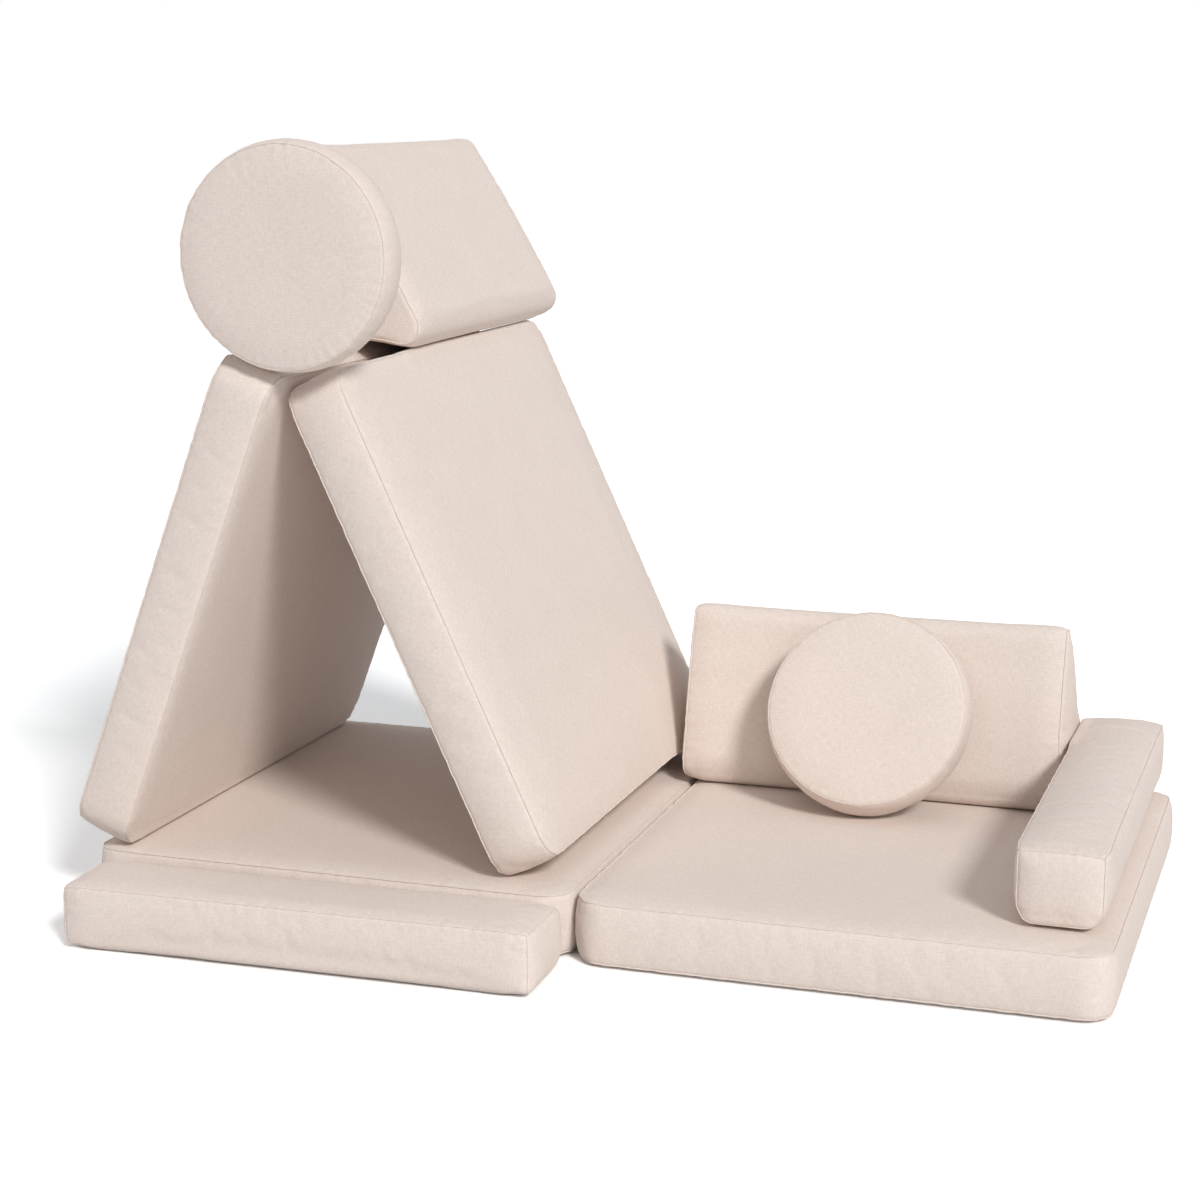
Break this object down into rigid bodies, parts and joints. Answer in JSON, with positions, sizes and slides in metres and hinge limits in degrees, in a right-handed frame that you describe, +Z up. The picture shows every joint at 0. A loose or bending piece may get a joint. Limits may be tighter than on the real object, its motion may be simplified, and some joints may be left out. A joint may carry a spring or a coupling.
{
  "type": "modular play sofa",
  "caption": "Loose foam cushions in woven zip-off covers: mats, blocks, wedges and round cushions set up as a low seat beside a small tent.",
  "frame": {"origin": "middle of the bounding box, at the floor", "axes": "+X to the right as seen from the front, +Y to the back, +Z up"},
  "size_m": [1.7014, 1.1812, 1.2624],
  "materials": {
    "woven_cover": "matt beige woven linen look with a slub",
    "foam_core": "open-cell foam block, never seen",
    "zip_tape": "woven tape with a moulded coil",
    "zip_slider": "satin metal"
  },
  "bodies": {
    "left_mat": {"left_mat_cover": "woven_cover", "left_mat_foam": "foam_core", "left_mat_zip": "zip_tape"},
    "right_mat": {"right_mat_cover": "woven_cover", "right_mat_foam": "foam_core", "right_mat_zip": "zip_tape"},
    "left_panel": {"left_panel_cover": "woven_cover", "left_panel_foam": "foam_core", "left_panel_zip": "zip_tape"},
    "right_panel": {"right_panel_cover": "woven_cover", "right_panel_foam": "foam_core", "right_panel_zip": "zip_tape"},
    "front_block": {"front_block_cover": "woven_cover", "front_block_foam": "foam_core", "front_block_zip": "zip_tape"},
    "arm_block": {"arm_block_cover": "woven_cover", "arm_block_foam": "foam_core", "arm_block_zip": "zip_tape"},
    "back_wedge": {"back_wedge_cover": "woven_cover", "back_wedge_foam": "foam_core", "back_wedge_zip": "zip_tape"},
    "top_wedge": {"top_wedge_cover": "woven_cover", "top_wedge_foam": "foam_core", "top_wedge_zip": "zip_tape"},
    "top_disc": {"top_disc_cover": "woven_cover", "top_disc_foam": "foam_core", "top_disc_zip": "zip_tape"},
    "back_disc": {"back_disc_cover": "woven_cover", "back_disc_foam": "foam_core", "back_disc_zip": "zip_tape"},
    "left_mat_slider": {"left_mat_slider": "zip_slider"},
    "right_mat_slider": {"right_mat_slider": "zip_slider"},
    "left_panel_slider": {"left_panel_slider": "zip_slider"},
    "right_panel_slider": {"right_panel_slider": "zip_slider"},
    "front_block_slider": {"front_block_slider": "zip_slider"},
    "arm_block_slider": {"arm_block_slider": "zip_slider"},
    "back_wedge_slider": {"back_wedge_slider": "zip_slider"},
    "top_wedge_slider": {"top_wedge_slider": "zip_slider"},
    "top_disc_slider": {"top_disc_slider": "zip_slider"},
    "back_disc_slider": {"back_disc_slider": "zip_slider"}
  },
  "joints": [
    {"name": "right_mat_pull", "type": "slide", "parent": "left_mat", "child": "right_mat", "axis": [1, 0, 0], "range_m": [0, 0.4]},
    {"name": "front_block_pull", "type": "slide", "parent": "left_mat", "child": "front_block", "axis": [0, -1, 0], "range_m": [0, 0.4]},
    {"name": "left_panel_pull", "type": "slide", "parent": "left_mat", "child": "left_panel", "axis": [-1, 0.0087, 0], "range_m": [0, 0.3]},
    {"name": "right_panel_pull", "type": "slide", "parent": "left_mat", "child": "right_panel", "axis": [-0.0087, -1, 0], "range_m": [0, 0.3]},
    {"name": "top_wedge_lift", "type": "slide", "parent": "right_panel", "child": "top_wedge", "axis": [0, 0, 1], "range_m": [0, 0.4]},
    {"name": "top_disc_lift", "type": "slide", "parent": "right_panel", "child": "top_disc", "axis": [0, 0, 1], "range_m": [0, 0.4]},
    {"name": "arm_block_lift", "type": "slide", "parent": "right_mat", "child": "arm_block", "axis": [0, 0, 1], "range_m": [0, 0.4]},
    {"name": "back_wedge_lift", "type": "slide", "parent": "right_mat", "child": "back_wedge", "axis": [0, 0, 1], "range_m": [0, 0.4]},
    {"name": "back_disc_lift", "type": "slide", "parent": "back_wedge", "child": "back_disc", "axis": [0, 0, 1], "range_m": [0, 0.4]},
    {"name": "left_mat_zip_run", "type": "slide", "parent": "left_mat", "child": "left_mat_slider", "axis": [1, 0, 0], "range_m": [0, 0.571]},
    {"name": "right_mat_zip_run", "type": "slide", "parent": "right_mat", "child": "right_mat_slider", "axis": [1, 0, 0], "range_m": [0, 0.571]},
    {"name": "left_panel_zip_run", "type": "slide", "parent": "left_panel", "child": "left_panel_slider", "axis": [0.3515, -0.0031, 0.9362], "range_m": [0, 0.571]},
    {"name": "right_panel_zip_run", "type": "slide", "parent": "right_panel", "child": "right_panel_slider", "axis": [-0.4242, 0.0037, 0.9056], "range_m": [0, 0.571]},
    {"name": "front_block_zip_run", "type": "slide", "parent": "front_block", "child": "front_block_slider", "axis": [0.9998, 0.0209, 0], "range_m": [0, 0.531]},
    {"name": "arm_block_zip_run", "type": "slide", "parent": "arm_block", "child": "arm_block_slider", "axis": [0, -1, 0], "range_m": [0, 0.591]},
    {"name": "back_wedge_zip_run", "type": "slide", "parent": "back_wedge", "child": "back_wedge_slider", "axis": [1, 0, 0], "range_m": [0, 0.451]},
    {"name": "top_wedge_zip_run", "type": "slide", "parent": "top_wedge", "child": "top_wedge_slider", "axis": [-0.0087, -1, 0], "range_m": [0, 0.451]},
    {"name": "top_disc_zip_run", "type": "hinge", "parent": "top_disc", "child": "top_disc_slider", "pos_m": [-0.43662, -0.39238, 1.08237], "axis": [0.0087, 1, 0], "range_deg": [0, 100]},
    {"name": "back_disc_zip_run", "type": "hinge", "parent": "back_disc", "child": "back_disc_slider", "pos_m": [0.34904, 0.21326, 0.28152], "axis": [0, 0.8753, -0.4836], "range_deg": [0, 100]}
  ]
}
